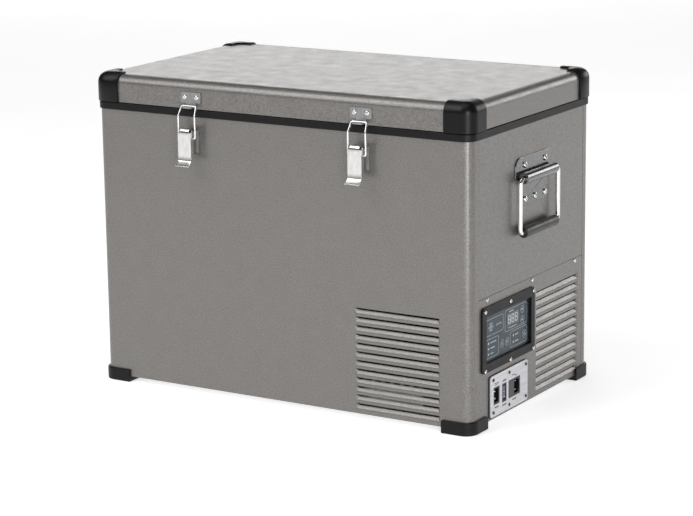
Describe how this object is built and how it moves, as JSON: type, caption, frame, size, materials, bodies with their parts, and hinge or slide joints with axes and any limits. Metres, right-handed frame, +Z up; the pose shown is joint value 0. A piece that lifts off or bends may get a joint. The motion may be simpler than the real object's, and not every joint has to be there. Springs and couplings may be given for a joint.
{
  "type": "compressor cooler",
  "caption": "Portable compressor cooler: a steel chest with a foamed latching lid, end handles, a louvred machine bay, a control panel and power sockets.",
  "frame": {"origin": "on the floor under the middle of the whole object's box, latch lips to hinge knuckles; the case's own middle is 8.25 mm behind it", "axes": "+X right along the front face, towards the end with the controls; +Y back, from the latches to the lid hinges; +Z up"},
  "size_m": [0.675, 0.4214, 0.479],
  "materials": {
    "painted_steel": "satin",
    "black_plastic": "satin",
    "grip_plastic": "satin",
    "white_plastic": "satin",
    "stainless": "polished",
    "chrome": "polished",
    "galvanised_steel": "satin",
    "foam": "matte",
    "gasket_rubber": "matte",
    "aluminium": "satin",
    "plate_aluminium": "satin",
    "black_enamel": "gloss",
    "copper": "satin",
    "blue_plastic": "gloss",
    "overlay_film": "gloss",
    "circuit_board": "satin"
  },
  "bodies": {
    "case": {"body_shell": "painted_steel", "side_panel": "painted_steel", "service_panel": "painted_steel", "rim_frame": "black_plastic", "foot_front_left": "black_plastic", "foot_front_right": "black_plastic", "foot_back_left": "black_plastic", "foot_back_right": "black_plastic", "control_bezel": "black_plastic", "dc_socket": "black_plastic", "ac_inlet": "black_plastic", "compressor_controller": "black_plastic", "fan_frame": "black_plastic", "inner_liner": "stainless", "latch_base_left": "stainless", "latch_base_right": "stainless", "handle_plate_left": "chrome", "handle_plate_right": "chrome", "base_pan": "galvanised_steel", "bulkhead": "galvanised_steel", "compressor_bracket": "galvanised_steel", "hinge_leaf_body_left": "galvanised_steel", "hinge_leaf_body_right": "galvanised_steel", "insulation_foam": "foam", "evaporator": "aluminium", "condenser": "aluminium", "power_supply": "aluminium", "power_plate": "plate_aluminium", "compressor": "black_enamel", "discharge_pipe": "copper", "suction_pipe": "copper", "fuse_holder": "blue_plastic", "control_overlay": "overlay_film", "display_board": "circuit_board"},
    "lid": {"lid_skin": "painted_steel", "lid_liner": "white_plastic", "lid_foam": "foam", "lid_gasket": "gasket_rubber", "latch_keeper_left": "stainless", "latch_keeper_right": "stainless", "lid_cap_front_left": "black_plastic", "lid_cap_front_right": "black_plastic", "lid_cap_back_left": "black_plastic", "lid_cap_back_right": "black_plastic", "hinge_leaf_lid_left": "galvanised_steel", "hinge_leaf_lid_right": "galvanised_steel"},
    "lever_left": {"latch_lever_left": "stainless"},
    "lever_right": {"latch_lever_right": "stainless"},
    "bail_left": {"latch_bail_left": "stainless"},
    "bail_right": {"latch_bail_right": "stainless"},
    "handle_left": {"handle_bail_left": "chrome", "handle_grip_left": "grip_plastic"},
    "handle_right": {"handle_bail_right": "chrome", "handle_grip_right": "grip_plastic"},
    "fan": {"fan_rotor": "black_plastic"},
    "button_up": {"key_up": "overlay_film"},
    "button_down": {"key_down": "overlay_film"},
    "button_power": {"key_power": "overlay_film"},
    "button_mode": {"key_mode": "overlay_film"},
    "button_cool": {"key_cool": "overlay_film"}
  },
  "joints": [
    {"name": "lid_hinge", "type": "hinge", "parent": "case", "child": "lid", "pos_m": [0, 0.20575, 0.4346], "axis": [-1, 0, 0], "range_deg": [0, 95]},
    {"name": "latch_lever_left", "type": "hinge", "parent": "case", "child": "lever_left", "pos_m": [-0.146, -0.19675, 0.403], "axis": [-1, 0, 0], "range_deg": [0, 100]},
    {"name": "latch_bail_left", "type": "hinge", "parent": "lever_left", "child": "bail_left", "pos_m": [-0.146, -0.19525, 0.3935], "axis": [-1, 0, 0], "range_deg": [-85, 0]},
    {"name": "latch_lever_right", "type": "hinge", "parent": "case", "child": "lever_right", "pos_m": [0.146, -0.19675, 0.403], "axis": [-1, 0, 0], "range_deg": [0, 100]},
    {"name": "latch_bail_right", "type": "hinge", "parent": "lever_right", "child": "bail_right", "pos_m": [0.146, -0.19525, 0.3935], "axis": [-1, 0, 0], "range_deg": [-85, 0]},
    {"name": "handle_left", "type": "hinge", "parent": "case", "child": "handle_left", "pos_m": [-0.3295, 0.01125, 0.349], "axis": [0, 1, 0], "range_deg": [0, 90]},
    {"name": "handle_right", "type": "hinge", "parent": "case", "child": "handle_right", "pos_m": [0.3295, 0.01125, 0.349], "axis": [0, -1, 0], "range_deg": [0, 90]},
    {"name": "fan_spin", "type": "hinge", "parent": "case", "child": "fan", "pos_m": [0.27, 0.09525, 0.095], "axis": [1, 0, 0], "continuous": true},
    {"name": "press_up", "type": "slide", "parent": "case", "child": "button_up", "axis": [-1, 0, 0], "range_m": [0, 0.0005], "stiffness_N_per_m": 800},
    {"name": "press_down", "type": "slide", "parent": "case", "child": "button_down", "axis": [-1, 0, 0], "range_m": [0, 0.0005], "stiffness_N_per_m": 800},
    {"name": "press_power", "type": "slide", "parent": "case", "child": "button_power", "axis": [-1, 0, 0], "range_m": [0, 0.0005], "stiffness_N_per_m": 800},
    {"name": "press_mode", "type": "slide", "parent": "case", "child": "button_mode", "axis": [-1, 0, 0], "range_m": [0, 0.0005], "stiffness_N_per_m": 800},
    {"name": "press_cool", "type": "slide", "parent": "case", "child": "button_cool", "axis": [-1, 0, 0], "range_m": [0, 0.0005], "stiffness_N_per_m": 800}
  ],
  "couplings": [
    {"joint": "latch_bail_left", "follows": "latch_lever_left", "ratio": -0.85},
    {"joint": "latch_bail_right", "follows": "latch_lever_right", "ratio": -0.85}
  ]
}
